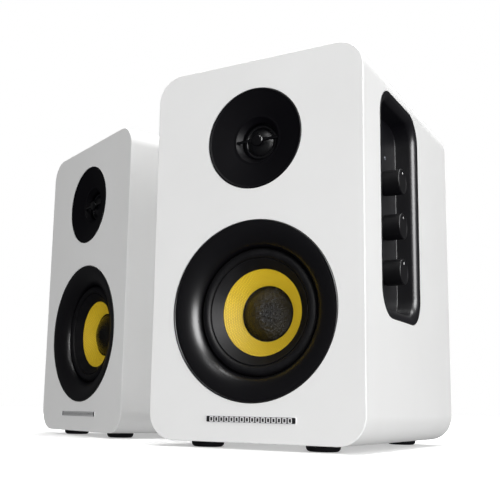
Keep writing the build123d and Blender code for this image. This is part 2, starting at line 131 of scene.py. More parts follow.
WOOFER_Z, TRIM_R = ring_size("active_woofer_trim_ring")
TWEETER_Z, PLATE_R = ring_size("active_tweeter_faceplate")
PORT_Z, PORT_FLANGE = ring_size("active_port_tube")
CONE_R = ring_size("active_woofer_cone")[1]
CONE_Y = span("active_woofer_cone")[0][1]
NECK_R, NECK_Y = 13.0, CONE_Y + 18.4
CAP_R, CAP_H = 18.3, 7.8
GLUE_R = 29.2
PANEL_LOW, PANEL_HIGH = span("control_bezel")
PANEL_Y, PANEL_Z = (PANEL_LOW[1:] + PANEL_HIGH[1:]) / 2
PANEL_W, PANEL_H = PANEL_HIGH[1:] - PANEL_LOW[1:]
PANEL_R = 21.0
SIDE = PANEL_HIGH[0]
FLOOR = PANEL_LOW[0] + 2.0

ACTIVE, PASSIVE = Speaker("active"), Speaker("passive")


# ---- shape helpers ----
def rounded_path(*corners, closed=False):
    """Corner points (a, b, radius) joined by straight lines, with each corner made an arc."""
    runs = []
    for index, corner in enumerate(corners):
        here, radius = np.array(corner[:2], float), corner[2] if len(corner) > 2 else 0.0
        inner = closed or 0 < index < len(corners) - 1
        if not (radius and inner):
            runs.append(here[None])
            continue
        back = np.array(corners[index - 1][:2]) - here
        ahead = np.array(corners[(index + 1) % len(corners)][:2]) - here
        back, ahead = back / np.linalg.norm(back), ahead / np.linalg.norm(ahead)
        half = math.acos(np.clip(back @ ahead, -1, 1)) / 2
        centre = here + (back + ahead) / np.linalg.norm(back + ahead) * radius / math.sin(half)
        start = here + back * radius / math.tan(half) - centre
        end = here + ahead * radius / math.tan(half) - centre
        first, last = math.atan2(start[1], start[0]), math.atan2(end[1], end[0])
        sweep = (last - first + math.pi) % (2 * math.pi) - math.pi
        angle = first + sweep * np.linspace(0, 1, max(3, math.ceil(abs(sweep) / math.radians(10)) + 1))
        runs.append(centre + radius * np.stack([np.cos(angle), np.sin(angle)], 1))
    return np.concatenate(runs)


def turned(profile, z=0.0, y=0.0, turns=144, x=0.0):
    """A (radius, depth) profile swept round a line along Y through (x, z)."""
    angle = np.linspace(0, 2 * np.pi, turns, endpoint=False)
    radius, depth = profile[:, :1], profile[:, 1:]
    return np.stack([x + radius * np.cos(angle), y + depth + 0 * angle, z + radius * np.sin(angle)], -1)


def turned_sideways(profile, y, z, turns=96):
    """A (radius, x) profile swept round a line along X through (y, z)."""
    angle = np.linspace(0, 2 * np.pi, turns, endpoint=False)
    radius, along = profile[:, :1], profile[:, 1:]
    return np.stack([along + 0 * angle, y + radius * np.cos(angle), z + radius * np.sin(angle)], -1)


def outline(width, height, radius, levels=(), steps=12):
    """Points and outward normals round a rounded rectangle, with extra points at levels on its sides."""
    a, b = width / 2, height / 2
    rise = sorted(level for level in levels if abs(level) < b - radius)
    sides = [(a, level, 1, 0) for level in rise]
    points = []
    for index, (cx, cy) in enumerate(((a - radius, b - radius), (radius - a, b - radius),
                                      (radius - a, radius - b), (a - radius, radius - b))):
        angle = np.pi / 2 * (index + np.linspace(0, 1, steps + 1))
        c, s = np.cos(angle), np.sin(angle)
        points.append(np.stack([cx + radius * c, cy + radius * s, c, s], 1))
        if index == 1 and rise:
            points.append(np.array([(-a, level, -1, 0) for level in reversed(rise)], float))
    if rise:
        points.insert(0, np.array(sides, float))
    points = np.concatenate(points)
    return points[:, :2], points[:, 2:]


def carried(loop, normals, profile, place):
    """A profile of (inset, depth) carried round a loop; place turns (u, v, depth) into X, Y, Z."""
    flat = loop[None] - normals[None] * profile[:, None, :1]
    depth = np.broadcast_to(profile[:, None, 1:], flat.shape[:2] + (1,))
    return place(flat[..., 0], flat[..., 1], depth[..., 0])


def on_front(u, v, depth):
    return np.stack([u, depth, v + MIDDLE], -1)


def on_side(u, v, depth):
    return np.stack([SIDE - depth, u + PANEL_Y, v + PANEL_Z], -1)


class Shell:
    """Grids and flat faces in one speaker's millimetres, merged into one closed mesh."""

    def __init__(self):
        self.points, self.faces, self.count = [], [], 0

    def add(self, points, faces):
        self.points.append(points.reshape(-1, 3))
        self.faces.extend((np.asarray(faces) + self.count).tolist())
        self.count += len(self.points[-1])
        return self

    def grid(self, points, across=False, around=True):
        """Squares between the rows and columns of points; across or around joins last to first."""
        n, m = points.shape[:2]
        rows, columns = n if across else n - 1, m if around else m - 1
        i, j = np.meshgrid(np.arange(rows), np.arange(columns), indexing="ij")
        i, j, k, l = i.ravel(), j.ravel(), (i.ravel() + 1) % n, (j.ravel() + 1) % m
        return self.add(points, np.stack([i * m + j, k * m + j, k * m + l, i * m + l], 1))

    def flat(self, *loops):
        """A flat face: the first loop is its edge, the others are holes in it."""
        triangles = tessellate_polygon([[Vector(p) for p in loop] for loop in loops])
        return self.add(np.concatenate(loops), np.array(triangles))

    def mesh(self, name):
        data = bpy.data.meshes.new(name)
        data.from_pydata(np.concatenate(self.points), [], self.faces)
        work = bmesh.new()
        work.from_mesh(data)
        bmesh.ops.remove_doubles(work, verts=work.verts, dist=0.002)
        bmesh.ops.dissolve_degenerate(work, edges=work.edges, dist=0.001)
        bmesh.ops.recalc_face_normals(work, faces=work.faces)
        work.to_mesh(data)
        work.free()
        return data


def piece(name, shell, speaker, body, finish, sharp=38.0, even=True, stands_for=()):
    """Makes a finished piece from a shell: own (x, z) map in metres, smooth faces, sharp creases."""
    data = shell.mesh(name)
    place = np.zeros(len(data.vertices) * 3)
    data.vertices.foreach_get("co", place)
    place = place.reshape(-1, 3)
    corners = np.zeros(len(data.loops), int)
    data.loops.foreach_get("vertex_index", corners)
    flat_map = data.uv_layers.new(name="front_view")
    flat_map.data.foreach_set("uv", (place[corners][:, [0, 2]] * MM).ravel())
    data.transform(speaker.matrix())
    data.polygons.foreach_set("use_smooth", np.ones(len(data.polygons), bool))
    data.set_sharp_from_angle(angle=math.radians(sharp))
    data.materials.append(finish)
    thing = bpy.data.objects.new(name, data)
    bpy.context.scene.collection.objects.link(thing)
    if even:
        normals = thing.modifiers.new("even_normals", "WEIGHTED_NORMAL")
        normals.keep_sharp = True
    if body:
        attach(thing, body)
    if stands_for:
        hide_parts(*stands_for)
    return thing


# ---- shader helpers ----
class Value:
    """A shader number; arithmetic on it adds Math nodes."""

    def __init__(self, finish, socket):
        self.finish, self.socket = finish, socket

    def math(self, operation, *values):
        return self.finish.node("ShaderNodeMath", {"operation": operation}, [self, *values])

    def __add__(self, other):
        return self.math("ADD", other)

    def __sub__(self, other):
        return self.math("SUBTRACT", other)

    def __rsub__(self, other):
        return self.finish.node("ShaderNodeMath", {"operation": "SUBTRACT"}, [other, self])

    def __mul__(self, other):
        return self.math("MULTIPLY", other)

    def __truediv__(self, other):
        return self.math("DIVIDE", other)

    __radd__, __rmul__ = __add__, __mul__


class Finish:
    """A material with one Principled shader; fixed values go straight on its sockets."""

    def __init__(self, name, **fixed):
        self.material = bpy.data.materials.new(name)
        self.material.use_nodes = True
        self.tree = self.material.node_tree
        self.shader = self.tree.nodes["Principled BSDF"]
        for socket, value in fixed.items():
            self.shader.inputs[socket.replace("_", " ")].default_value = value

    def node(self, kind, settings=None, sockets=None, output=0):
        """Adds a node: settings first, then values or links for its sockets by name or place."""
        made = self.tree.nodes.new(kind)
        for key, value in (settings or {}).items():
            setattr(made, key, value)
        if isinstance(sockets, list):
            sockets = dict(enumerate(sockets))
        for key, value in (sockets or {}).items():
            if isinstance(value, Value):
                self.tree.links.new(value.socket, made.inputs[key])
            else:
                made.inputs[key].default_value = value
        return Value(self, made.outputs[output])

    def point(self, stretch=(1, 1, 1)):
        place = self.node("ShaderNodeTexCoord", output="Object")
        return self.node("ShaderNodeMapping", sockets={"Vector": place, "Scale": stretch})

    def front_view(self):
        """The piece's own x and z as two numbers, in metres."""
        flat = self.node("ShaderNodeUVMap", {"uv_map": "front_view"})
        parts = self.node("ShaderNodeSeparateXYZ", sockets=[flat])
        return parts, Value(self, parts.socket.node.outputs["Y"])

    def noise(self, size_mm, detail=3.0, rough=0.55, where=None):
        """Cloudy values about 0.5 with lumps of that size."""
        sockets = {"Vector": where or self.point(), "Scale": 1 / (size_mm * MM), "Detail": detail,
                   "Roughness": rough}
        return self.node("ShaderNodeTexNoise", sockets=sockets)

    def cells(self, size_mm):
        """Distance to the nearest of many scattered points, that far apart."""
        sockets = {"Vector": self.point(), "Scale": 1 / (size_mm * MM)}
        return self.node("ShaderNodeTexVoronoi", sockets=sockets, output="Distance")

    def ramp(self, factor, *stops):
        """A colour ramp through (position, colour) stops."""
        made = self.node("ShaderNodeValToRGB", sockets=[factor])
        ramp = made.socket.node.color_ramp
        for place, colour in stops[2:]:
            ramp.elements.new(place)
        for element, (place, colour) in zip(sorted(ramp.elements, key=lambda e: e.position), sorted(stops)):
            element.position, element.color = place, (*colour, 1)
        return made

    def mix(self, factor, first, second):
        """Blends two colours."""
        pair = [value if isinstance(value, Value) else (*value, 1) for value in (first, second)]
        sockets = {"Factor": factor, 6: pair[0], 7: pair[1]}
        return self.node("ShaderNodeMix", {"data_type": "RGBA"}, sockets, output=2)

    def band(self, value, low, high):
        """0 below low, 1 above high, smooth between."""
        sockets = {"Value": value, "From Min": low, "From Max": high}
        return self.node("ShaderNodeMapRange", {"interpolation_type": "SMOOTHSTEP"}, sockets)

    def surface(self, colour=None, roughness=None, metallic=None, height=None, depth_mm=0.05, strength=1.0):
        """Links what varies over the surface; height is a bump of that depth."""
        for socket, value in (("Base Color", colour), ("Roughness", roughness), ("Metallic", metallic)):
            if value is not None:
                self.tree.links.new(value.socket, self.shader.inputs[socket])
        if height is not None:
            bump = self.node("ShaderNodeBump", sockets={"Height": height, "Strength": strength,
                                                        "Distance": depth_mm * MM})
            self.tree.links.new(bump.socket, self.shader.inputs["Normal"])
        return self.material


def tint(colour, factor):
    return tuple(channel * factor for channel in colour)


def plastic(name, colour, rough=0.4, grain_mm=0.35, grain_depth=0.02, spread=0.08, **fixed):
    """Moulded plastic: fine spark-eroded grain, slow drift in gloss, faint handling marks."""
    f = Finish(name, **fixed)
    grain = f.noise(grain_mm, 2.0, 0.6)
    drift = f.noise(22.0, 3.0)
    rub = f.noise(6.0, 5.0, 0.7, f.point((1, 1, 3)))
    base = f.mix(drift, tint(colour, 0.85), tint(colour, 1.2))
    return f.surface(base, (drift - 0.5) * spread + (rub - 0.5) * spread + rough, height=grain,
                     depth_mm=grain_depth)


def white_wrap(name):
    """Satin white film on board: slight orange peel, faint warm clouding, gloss drift."""
    f = Finish(name, Specular_IOR_Level=0.35)
    peel = f.noise(0.9, 2.0, 0.5)
    cloud = f.noise(60.0, 3.0)
    speck = f.noise(3.0, 4.0, 0.7)
    colour = f.mix(cloud, (0.785, 0.785, 0.78), (0.83, 0.832, 0.83))
    return f.surface(colour, (speck - 0.5) * 0.12 + (cloud - 0.5) * 0.08 + 0.5, height=peel, depth_mm=0.012)


def rubber(name, rough=0.55):
    """Butyl rubber: matt with a faint powdery bloom and fine pores."""
    f = Finish(name, Specular_IOR_Level=0.22)
    bloom = f.noise(9.0, 4.0, 0.65)
    pores = f.noise(0.25, 2.0)
    colour = f.mix(f.band(bloom, 0.35, 0.75), (0.003, 0.0029, 0.0038), (0.0055, 0.0053, 0.0065))
    return f.surface(colour, (bloom - 0.5) * 0.2 + rough, height=pores, depth_mm=0.02)


def weave(name, pitch_mm, warp, weft, shade, rough, depth_mm, resin=0.3, **fixed):
    """Plain-weave cloth seen from the front: yarns pass over and under each other by turns, with
    shade painted into the low hollows between neighbours and fine hairs along each yarn."""
    f = Finish(name, **fixed)
    x, z = f.front_view()
    wave_x = (x * (math.pi / pitch_mm / MM)).math("SINE")
    wave_z = (z * (math.pi / pitch_mm / MM)).math("SINE")
    over = f.band(wave_x * wave_z, -0.1, 0.1)
    round_x, round_z = wave_x.math("ABSOLUTE"), wave_z.math("ABSOLUTE")
    strand = over * round_x * 0.6 + (1 - over) * round_z * 0.6 + round_x * 0.4
    hairs = over * f.noise(0.16, 3.0, 0.6, f.point((1, 1, 0.12))) + \
        (1 - over) * f.noise(0.16, 3.0, 0.6, f.point((0.12, 0.12, 1)))
    cloud = f.noise(9.0, 4.0, 0.65)
    colour = f.mix(over, warp, weft)
    # painted shade: where a yarn dips toward its neighbours the colour goes to the shade colour, mixed with
    # random hair tone
    painted_gap_shade = f.band(strand, 0.1, 0.6)
    colour = f.mix((1 - painted_gap_shade) * 0.9 + (hairs - 0.5) * 0.9, colour, shade)
    colour = f.mix(cloud * resin, colour, tint(warp, 1.15))
    return f.surface(colour, (hairs - 0.5) * 0.3 + rough, height=strand + hairs * 0.35, depth_mm=depth_mm)


def fine_cloth(name, colour, pitch_mm, rough, depth_mm, sparkle=0.0):
    """Coated black cloth: a dense net of tiny threads whose tops catch the light unevenly; the highest tufts
    also get a painted highlight, a lighter colour.
    """
    f = Finish(name, Specular_IOR_Level=0.5)
    x, z = f.front_view()
    net = ((x / (pitch_mm * MM) * math.pi).math("SINE") * (z / (pitch_mm * MM) * math.pi).math("SINE"))
    net = net.math("ABSOLUTE")
    tuft = f.noise(pitch_mm * 4.0, 3.0, 0.8)
    cloud = f.noise(5.0, 4.0, 0.7)
    height = net * 0.15 + tuft * 1.8 + cloud * 0.4
    # painted highlight: colour lighter where the tufts stand highest
    base = f.mix(f.band(tuft, 0.4, 0.65), tint(colour, 0.6), tint(colour, 1.7))
    return f.surface(base, rough - net * 0.12 + (cloud - 0.5) * 0.25 - tuft * sparkle, height=height,
                     depth_mm=depth_mm)


def brushed(name, colour, rough=0.3, stretch=(1, 60, 60), **fixed):
    """Metal with fine one-way scratches and cloudy tarnish."""
    f = Finish(name, Metallic=1.0, **fixed)
    scratch = f.noise(9.0, 5.0, 0.7, f.point(stretch))
    cloud = f.noise(12.0, 3.0)
    base = f.mix(cloud, tint(colour, 0.8), tint(colour, 1.1))
    return f.surface(base, scratch * 0.22 + rough - 0.1, height=scratch, depth_mm=0.006)


def silver_paint(name):
    """Bright flake paint on moulded letters and rims: fine flakes, faint handling marks."""
    f = Finish(name, Metallic=0.1)
    flake = f.noise(0.3, 2.0)
    cloud = f.noise(7.0, 3.0)
    colour = f.mix(flake, (0.66, 0.66, 0.67), (0.9, 0.9, 0.91))
    return f.surface(colour, (cloud - 0.5) * 0.15 + 0.34, height=flake, depth_mm=0.004)


def powder_coat(name, colour, rough=0.5, lump_mm=0.7):
    """Textured coating: low rounded lumps, with a slow drift in tone and gloss."""
    f = Finish(name)
    lumps = f.cells(lump_mm)
    cloud = f.noise(15.0, 3.0)
    base = f.mix(cloud, tint(colour, 0.85), tint(colour, 1.2))
    return f.surface(base, (lumps - 0.5) * 0.15 + (cloud - 0.5) * 0.1 + rough, height=lumps, depth_mm=0.05)


def circuit(name):
    """Green solder mask with copper tracks showing through as slightly raised lines."""
    f = Finish(name, Specular_IOR_Level=0.6)
    tracks = f.node("ShaderNodeTexBrick", {"offset": 0.4}, {"Vector": f.point((1, 1, 1)), "Scale": 90.0,
                    "Mortar Size": 0.012}, output="Fac")
    cloud = f.noise(8.0, 2.0)
    base = f.mix(tracks, (0.012, 0.085, 0.035), (0.03, 0.17, 0.06))
    return f.surface(base, (cloud - 0.5) * 0.2 + 0.35, height=tracks, depth_mm=0.03)


FINISH = {
    "cabinet_white": white_wrap("satin_white_wrap"),
    "rear_black": powder_coat("black_textured_board", (0.016, 0.016, 0.017), 0.55, 1.1),
    "port_black": plastic("port_plastic", (0.012, 0.012, 0.0125), 0.42),
    "foot_rubber": rubber("foot_rubber", 0.62),
    "driver_black": plastic("satin_driver_plastic", (0.0028, 0.0026, 0.0036), 0.33, 0.3, 0.004, 0.04,
                            Specular_IOR_Level=0.45),
    "surround_rubber": rubber("surround_rubber", 0.56),
    "cone_weave": weave("aramid_weave", 0.95, (0.88, 0.62, 0.03), (0.74, 0.50, 0.02),
                        (0.22, 0.12, 0.004), 0.48, 0.2, Specular_IOR_Level=0.28),
    "cap_black": fine_cloth("cap_cloth", (0.0024, 0.0021, 0.0022), 0.55, 0.30, 1.0, 0.15),
    "dome_fabric": fine_cloth("dome_silk", (0.003, 0.003, 0.004), 0.3, 0.42, 0.02),
    "motor_steel": brushed("zinc_plate", (0.5, 0.5, 0.5)),
    "basket_black": powder_coat("basket_coat", (0.015, 0.015, 0.015)),
    "coil_metal": brushed("coil_former", (0.7, 0.42, 0.2), 0.35, (1, 1, 40)),
    "spider_cloth": weave("spider_cotton", 0.8, (0.5, 0.36, 0.15), (0.45, 0.32, 0.13), (0.2, 0.13, 0.05),
                          0.8, 0.1),
    "fitting_black": plastic("nylon_black", (0.014, 0.014, 0.014), 0.45, 0.4, 0.03),
    "screw_steel": brushed("black_oxide", (0.05, 0.05, 0.055), 0.4),
    "lever_red": plastic("red_lever", (0.42, 0.012, 0.01), 0.3, 0.5, 0.01),
    "lever_black": plastic("black_lever", (0.012, 0.012, 0.012), 0.3, 0.5, 0.01),
    "bezel_black": plastic("bezel_plastic", (0.0042, 0.0040, 0.0058), 0.36, 0.3, 0.006, 0.04,
                           Specular_IOR_Level=0.45),
    "board_green": circuit("solder_mask"),
    "plate_black": powder_coat("amp_plate_coat", (0.014, 0.014, 0.015), 0.5, 0.5),
    "core_iron": brushed("varnished_core", (0.16, 0.13, 0.11), 0.5, (1, 1, 60)),
    "key_black": plastic("key_plastic", (0.01, 0.01, 0.01), 0.28, 0.5, 0.005),
    "jack_nickel": brushed("jack_plating", (0.72, 0.70, 0.66), 0.2, (1, 40, 1)),
    "knob_black": plastic("knob_plastic", (0.0038, 0.0036, 0.0048), 0.45, 0.25, 0.015, 0.05,
                          Specular_IOR_Level=0.27),
    "led_lens": plastic("lens_plastic", (0.13, 0.14, 0.16), 0.15, 0.6, 0.004),
    "badge_metal": silver_paint("badge_silver"),
}
PLATE_BLACK = plastic("tweeter_plastic", (0.0022, 0.0020, 0.0030), 0.46, 0.3, 0.004, 0.05,
                      Specular_IOR_Level=0.12)
BRIDGE_BLACK = plastic("bridge_gloss", (0.0025, 0.0024, 0.0032), 0.2, 0.3, 0.003, 0.05)
BADGE_FACE = plastic("badge_face", (0.012, 0.012, 0.013), 0.3, 0.4, 0.006)
MARK_WHITE = plastic("mark_paint", (0.75, 0.75, 0.75), 0.5, 0.3, 0.01)


# ---- cabinet ----
def cabinet(speaker, active):
    """Hollow box: the outline carried over a soft front edge, along the sides and round to the inner
    wall, with flat front and back-of-front faces that have the two driver holes, and on the active
    speaker a window through one side."""
    shell = Shell()
    loop, normals = outline(WIDTH, TOP - BOTTOM, CORNER)
    soft = rounded_path((3, 0), (0, 0, EDGE), (0, DEPTH, EDGE), (WALL, DEPTH), (WALL, BAFFLE))
    soft = soft[1:]
    grid = carried(loop, normals, soft, on_front)
    right = loop[:, 0] > WIDTH / 2 - 1e-6
    lasts = np.flatnonzero(right)
    holes = []
    for z, radius in ((WOOFER_Z, TRIM_R + 0.15), (TWEETER_Z, PLATE_R + 0.15)):
        wall = turned(np.array([(radius, 0.0), (radius, BAFFLE)]), z)
        shell.grid(wall)
        holes.append(wall)
    shell.flat(grid[0], holes[0][0], holes[1][0])
    shell.flat(grid[-1], holes[0][1], holes[1][1])
    if not active:
        shell.grid(grid)
    else:
        low, high = lasts.max(), lasts.min()
        rows = np.flatnonzero(np.abs(grid[:, high, 0] - SIDE) < 1e-6)
        outer = (rows.min(), rows.max())
        rolled = np.roll(grid, -high, axis=1)
        low = (low - high) % grid.shape[1]
        shell.grid(rolled[:, :low + 1], around=False)
        window, window_n = outline(PANEL_W + 0.15, PANEL_H + 0.15, PANEL_R)
        through = carried(window, window_n, np.array([(0.0, 0.0), (0.0, WALL)]), on_side)
        shell.grid(through)
        for first, second, hole in (outer + (through[0],), (len(grid) - 2, len(grid) - 1, through[1])):
            corners = [rolled[first, low], rolled[first, 0], rolled[second, 0], rolled[second, low]]
            shell.flat(np.stack(corners), hole)
        strip = np.stack([rolled[:, low], rolled[:, 0]], 1)
        shell.grid(strip[:outer[0] + 1], around=False)
        shell.grid(strip[outer[1]:-1], around=False)
    name = speaker.node("cabinet_shell")
    return piece(name, shell, speaker, speaker.body, FINISH["cabinet_white"], 50,
                 stands_for=(speaker.node("cabinet_wrap"), speaker.node("front_baffle")))


# ---- drivers ----
def cone_depth(radius):
    return CONE_Y + (NECK_Y - CONE_Y) * (CONE_R - radius) / (CONE_R - NECK_R)


def trim_ring(speaker):
    """Quarter-ellipse flare from a fine rolled bead down into the throat, hollow behind."""
    t = np.radians(np.linspace(3.0, 90, 30))
    edge, throat, deep, wall = TRIM_R - 1.2, 43.2, 10.5, 2.2
    flare = np.stack([edge - (edge - throat) * np.sin(t), deep - (deep + 0.35) * np.cos(t)], 1)
    back = t[::-1]
    under = np.stack([edge - (edge - throat - wall) * np.sin(back), deep - (deep - wall) * np.cos(back)], 1)
    bead = rounded_path((TRIM_R, 2.7), (TRIM_R, 0.35, 0.3), (TRIM_R - 0.55, -0.5, 0.3),
                        (TRIM_R - 1.05, -0.45, 0.2), (TRIM_R - 1.3, -0.2))
    foot = rounded_path((throat, deep + 0.3), (throat, 12.3, 0.4), (throat + wall, 12.3))
    profile = np.concatenate([bead, flare, foot, under, [(edge, 2.7)]])
    shell = Shell().grid(turned(profile, WOOFER_Z, turns=192), across=True)
    return piece(speaker.node("woofer_flare"), shell, speaker, speaker.body, FINISH["driver_black"],
                 50, stands_for=(speaker.node("woofer_trim_ring"),))


def surround(speaker):
    """Half roll between the basket step and the cone, running into a wide flat collar on the cone."""
    t = np.radians(np.linspace(0, 180, 25))
    middle, half, tall, thick = 39.45, 3.35, 3.15, 0.8
    foot = np.linspace(11.6, 9.9, len(t))
    over = np.stack([middle + half * np.cos(t), foot - tall * np.sin(t)], 1)
    inner_roll = foot[::-1] + 0.3 - (tall - thick) * np.sin(t)
    under = np.stack([middle + (half - thick) * np.cos(t[::-1]), inner_roll], 1)
    lip = cone_depth(GLUE_R) - 0.15
    collar = rounded_path((35.75, 9.95), (35.5, 9.1, 0.3), (GLUE_R, lip - 0.75, 0.35), (GLUE_R, lip, 0.1),
                          (CONE_R, CONE_Y - 0.14))
    flange = rounded_path((46.0, 13.1), (46.0, 12.42), (43.1, 12.42, 0.3), (42.85, 11.7))
    profile = np.concatenate([flange, over, collar, under, [(42.4, 13.1)]])
    shell = Shell().grid(turned(profile, WOOFER_Z, turns=192), across=True)
    thing = piece(speaker.node("woofer_roll"), shell, speaker, None, FINISH["surround_rubber"],
                  50, stands_for=(speaker.node("woofer_surround"),))
    bend_by_radius(thing, speaker, WOOFER_Z, speaker.node("woofer_diaphragm"))
    return thing


def bend_by_radius(thing, speaker, z, moving):
    """Finds its points' distance from the driver's axis and lays them out by it for a moment, then puts them
    back as they were.
    """
    data = thing.data
    rest = np.zeros(len(data.vertices) * 3)
    data.vertices.foreach_get("co", rest)
    own = (rest.reshape(-1, 3) / MM - speaker.origin)
    radius = np.hypot(own @ speaker.across, own[:, 2] - z)
    line = np.stack([radius, 0 * radius, 0 * radius], 1) * MM
    data.vertices.foreach_set("co", line.ravel())
    data.update()
    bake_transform(thing)
    data.vertices.foreach_set("co", rest)
    data.update()


def cone(speaker):
    """Straight-sided cone of woven cloth from under the collar to the voice coil."""
    thick = 1.1
    radii = np.linspace(CONE_R, NECK_R, 14)
    front = np.stack([radii, cone_depth(radii)], 1)
    back = front[::-1] + (0, thick)
    shell = Shell().grid(turned(np.concatenate([front, back]), WOOFER_Z, turns=160), across=True)
    return piece(speaker.node("woven_cone"), shell, speaker, speaker.node("woofer_diaphragm"),
                 FINISH["cone_weave"], 50, stands_for=(speaker.node("woofer_cone"),))


def dust_cap(speaker):
    """Spherical cap with a glued foot, thin-walled."""
    base = cone_depth(CAP_R)
    ball = (CAP_R ** 2 + CAP_H ** 2) / (2 * CAP_H)
    t = np.linspace(0, math.asin(CAP_R / ball), 22)
    over = np.stack([ball * np.sin(t), base - CAP_H + ball * (1 - np.cos(t))], 1)
    foot = rounded_path((CAP_R, base), (CAP_R + 0.55, base - 0.55, 0.3), (CAP_R + 1.0, base - 0.5, 0.25),
                        (CAP_R + 1.1, cone_depth(CAP_R + 1.1) + 0.2), (CAP_R - 0.2, base + 0.7))
    under = over[::-1] * (0.97, 1) + (0, 0.7)
    under[-1, 0] = 0.0
    profile = np.concatenate([over, foot[1:], under[1:]])
    shell = Shell().grid(turned(profile, WOOFER_Z, turns=128))
    return piece(speaker.node("dust_cap_cloth"), shell, speaker, speaker.node("woofer_diaphragm"),
                 FINISH["cap_black"], 60, stands_for=(speaker.node("woofer_dust_cap"),))


def faceplate(speaker):
    """Shallow cone from a fine rim to a flat land, a crisp edge, then a throat to the dome."""
    front = rounded_path((PLATE_R, 2.8), (PLATE_R, 0.35, 0.2), (PLATE_R - 0.8, -0.3, 0.4),
                         (PLATE_R - 2.0, 0.4, 1.0), (17.8, 4.6, 0.4), (16.1, 4.75, 0.25), (15.6, 5.5, 0.3),
                         (13.0, 8.4, 0.5), (13.0, 11.7))
    back = np.array([(18.4, 11.7), (18.4, 6.8), (21.0, 5.4), (31.0, 2.8)])
    shell = Shell().grid(turned(np.concatenate([front, back]), TWEETER_Z, turns=160), across=True)
    return piece(speaker.node("tweeter_plate"), shell, speaker, speaker.body, PLATE_BLACK,
                 50, stands_for=(speaker.node("tweeter_faceplate"),))


def bridge(speaker):
    """Two tapering arms of rounded section and a domed plug where they meet."""
    along = np.linspace(-15.45, 15.45, 41)
    angle = np.linspace(0, 2 * np.pi, 16, endpoint=False)
    half_high = 0.95 + 0.5 * np.exp(-((np.abs(along) - 4) / 3.0) ** 2)
    c, s = np.cos(angle), np.sin(angle)
    power = 0.7
    up = np.sign(s) * np.abs(s) ** power * half_high[:, None]
    deep = 5.55 + np.sign(c) * np.abs(c) ** power * 0.85 + 0 * up
    arms = np.stack([along[:, None] + 0 * up, deep, TWEETER_Z + up], -1)
    shell = Shell().grid(arms).flat(arms[0]).flat(arms[-1])
    plug = rounded_path((0.0, 3.5), (2.6, 3.55, 2.0), (4.3, 4.5, 1.2), (4.3, 6.0, 0.6), (3.2, 6.8, 0.3),
                        (0.0, 6.8))
    shell.grid(turned(plug, TWEETER_Z, turns=64))
    return piece(speaker.node("phase_bridge"), shell, speaker, speaker.body, BRIDGE_BLACK,
                 60, stands_for=(speaker.node("tweeter_bridge"),))


def dome(speaker):
    """Soft dome on its coil former, and the small roll round it."""
    radius, tall, base = 9.5, 3.4, 11.0
    ball = (radius ** 2 + tall ** 2) / (2 * tall)
    t = np.linspace(0, math.asin(radius / ball), 18)
    over = np.stack([ball * np.sin(t), base - tall + ball * (1 - np.cos(t))], 1)
    rest = np.array([(radius, 16.0), (radius - 0.4, 16.0), (radius - 0.4, base + 0.3)])
    under = over[::-1][1:] * (0.95, 1) + (0, 0.4)
    under[-1, 0] = 0.0
    shell = Shell().grid(turned(np.concatenate([over, rest, under]), TWEETER_Z, turns=96))
    piece(speaker.node("silk_dome"), shell, speaker, speaker.node("tweeter_diaphragm"),
          FINISH["dome_fabric"], 50, stands_for=(speaker.node("tweeter_dome"),))
    t = np.radians(np.linspace(180, 0, 13))
    roll = np.stack([11.15 + 1.35 * np.cos(t), 11.0 + 0.6 * (t.max() - t) / np.pi - 1.3 * np.sin(t)], 1)
    rim = np.array([(17.5, 11.76), (17.5, 12.1)])
    back = roll[::-1] * (1, 1) + (0, 0.3)
    shell = Shell().grid(turned(np.concatenate([roll, rim, back]), TWEETER_Z, turns=96), across=True)
    thing = piece(speaker.node("dome_roll"), shell, speaker, None, FINISH["dome_fabric"],
                  60, stands_for=(speaker.node("tweeter_surround"),))
    bend_by_radius(thing, speaker, TWEETER_Z, speaker.node("tweeter_diaphragm"))


def badge(speaker):
    """Bright rim, dark field and a row of plain open squares."""
    low, high = span("active_badge")
    wide, tall, z = high[0] - low[0], high[2] - low[2], (low[2] + high[2]) / 2
    loop, normals = outline(wide, tall, 1.3, steps=6)
    at_badge = lambda u, v, depth: np.stack([u, depth, v + z], -1)
    rim_shape = rounded_path((0.0, 0.25), (0.0, -0.6, 0.15), (0.55, -0.6, 0.12), (0.6, -0.35))
    rim = carried(loop, normals, rim_shape, at_badge)
    shell = Shell().grid(rim).flat(rim[0]).flat(rim[-1])
    pitch = 3.75
    count = int((wide - 3.0) / pitch)
    for index in range(count):
        bar, bar_n = outline(2.7, tall - 1.5, 0.5, steps=4)
        bar = bar + (pitch * (index - (count - 1) / 2), 0)
        block = carried(bar, bar_n, np.array([(0.0, -0.3), (0.0, -0.5), (0.08, -0.56), (0.55, -0.56),
                                              (0.6, -0.3)]), at_badge)
        shell.grid(block, across=True)
    piece(speaker.node("badge_bright"), shell, speaker, speaker.body, FINISH["badge_metal"],
          40, stands_for=(speaker.node("badge"),))
    field_loop, field_n = outline(wide - 1.1, tall - 1.1, 0.75, steps=6)
    field = carried(field_loop, field_n, np.array([(0.0, -0.2), (0.0, -0.4)]), at_badge)
    shell = Shell().grid(field).flat(field[0]).flat(field[-1])
    piece(speaker.node("badge_field"), shell, speaker, speaker.body, BADGE_FACE, 40)


def feet(speaker):
    """Soft pads with a rounded foot and a screw recess."""
    top = BOTTOM - 0.03
    profile = rounded_path((0.0, 1.4), (4.0, 1.4), (4.0, 0.0, 0.4), (11.0, 0.0, 2.9), (11.0, top), (0.0, top))
    shell = Shell()
    for x in (-42.0, 42.0):
        for y in (19.5, 179.5):
            angle = np.linspace(0, 2 * np.pi, 64, endpoint=False)
            radius, rise = profile[:, :1], profile[:, 1:]
            ring = x + radius * np.cos(angle), y + radius * np.sin(angle), rise + 0 * angle
            shell.grid(np.stack(ring, -1))
    return piece(speaker.node("rubber_feet"), shell, speaker, speaker.body, FINISH["foot_rubber"],
                 40, stands_for=(speaker.node("feet"),))


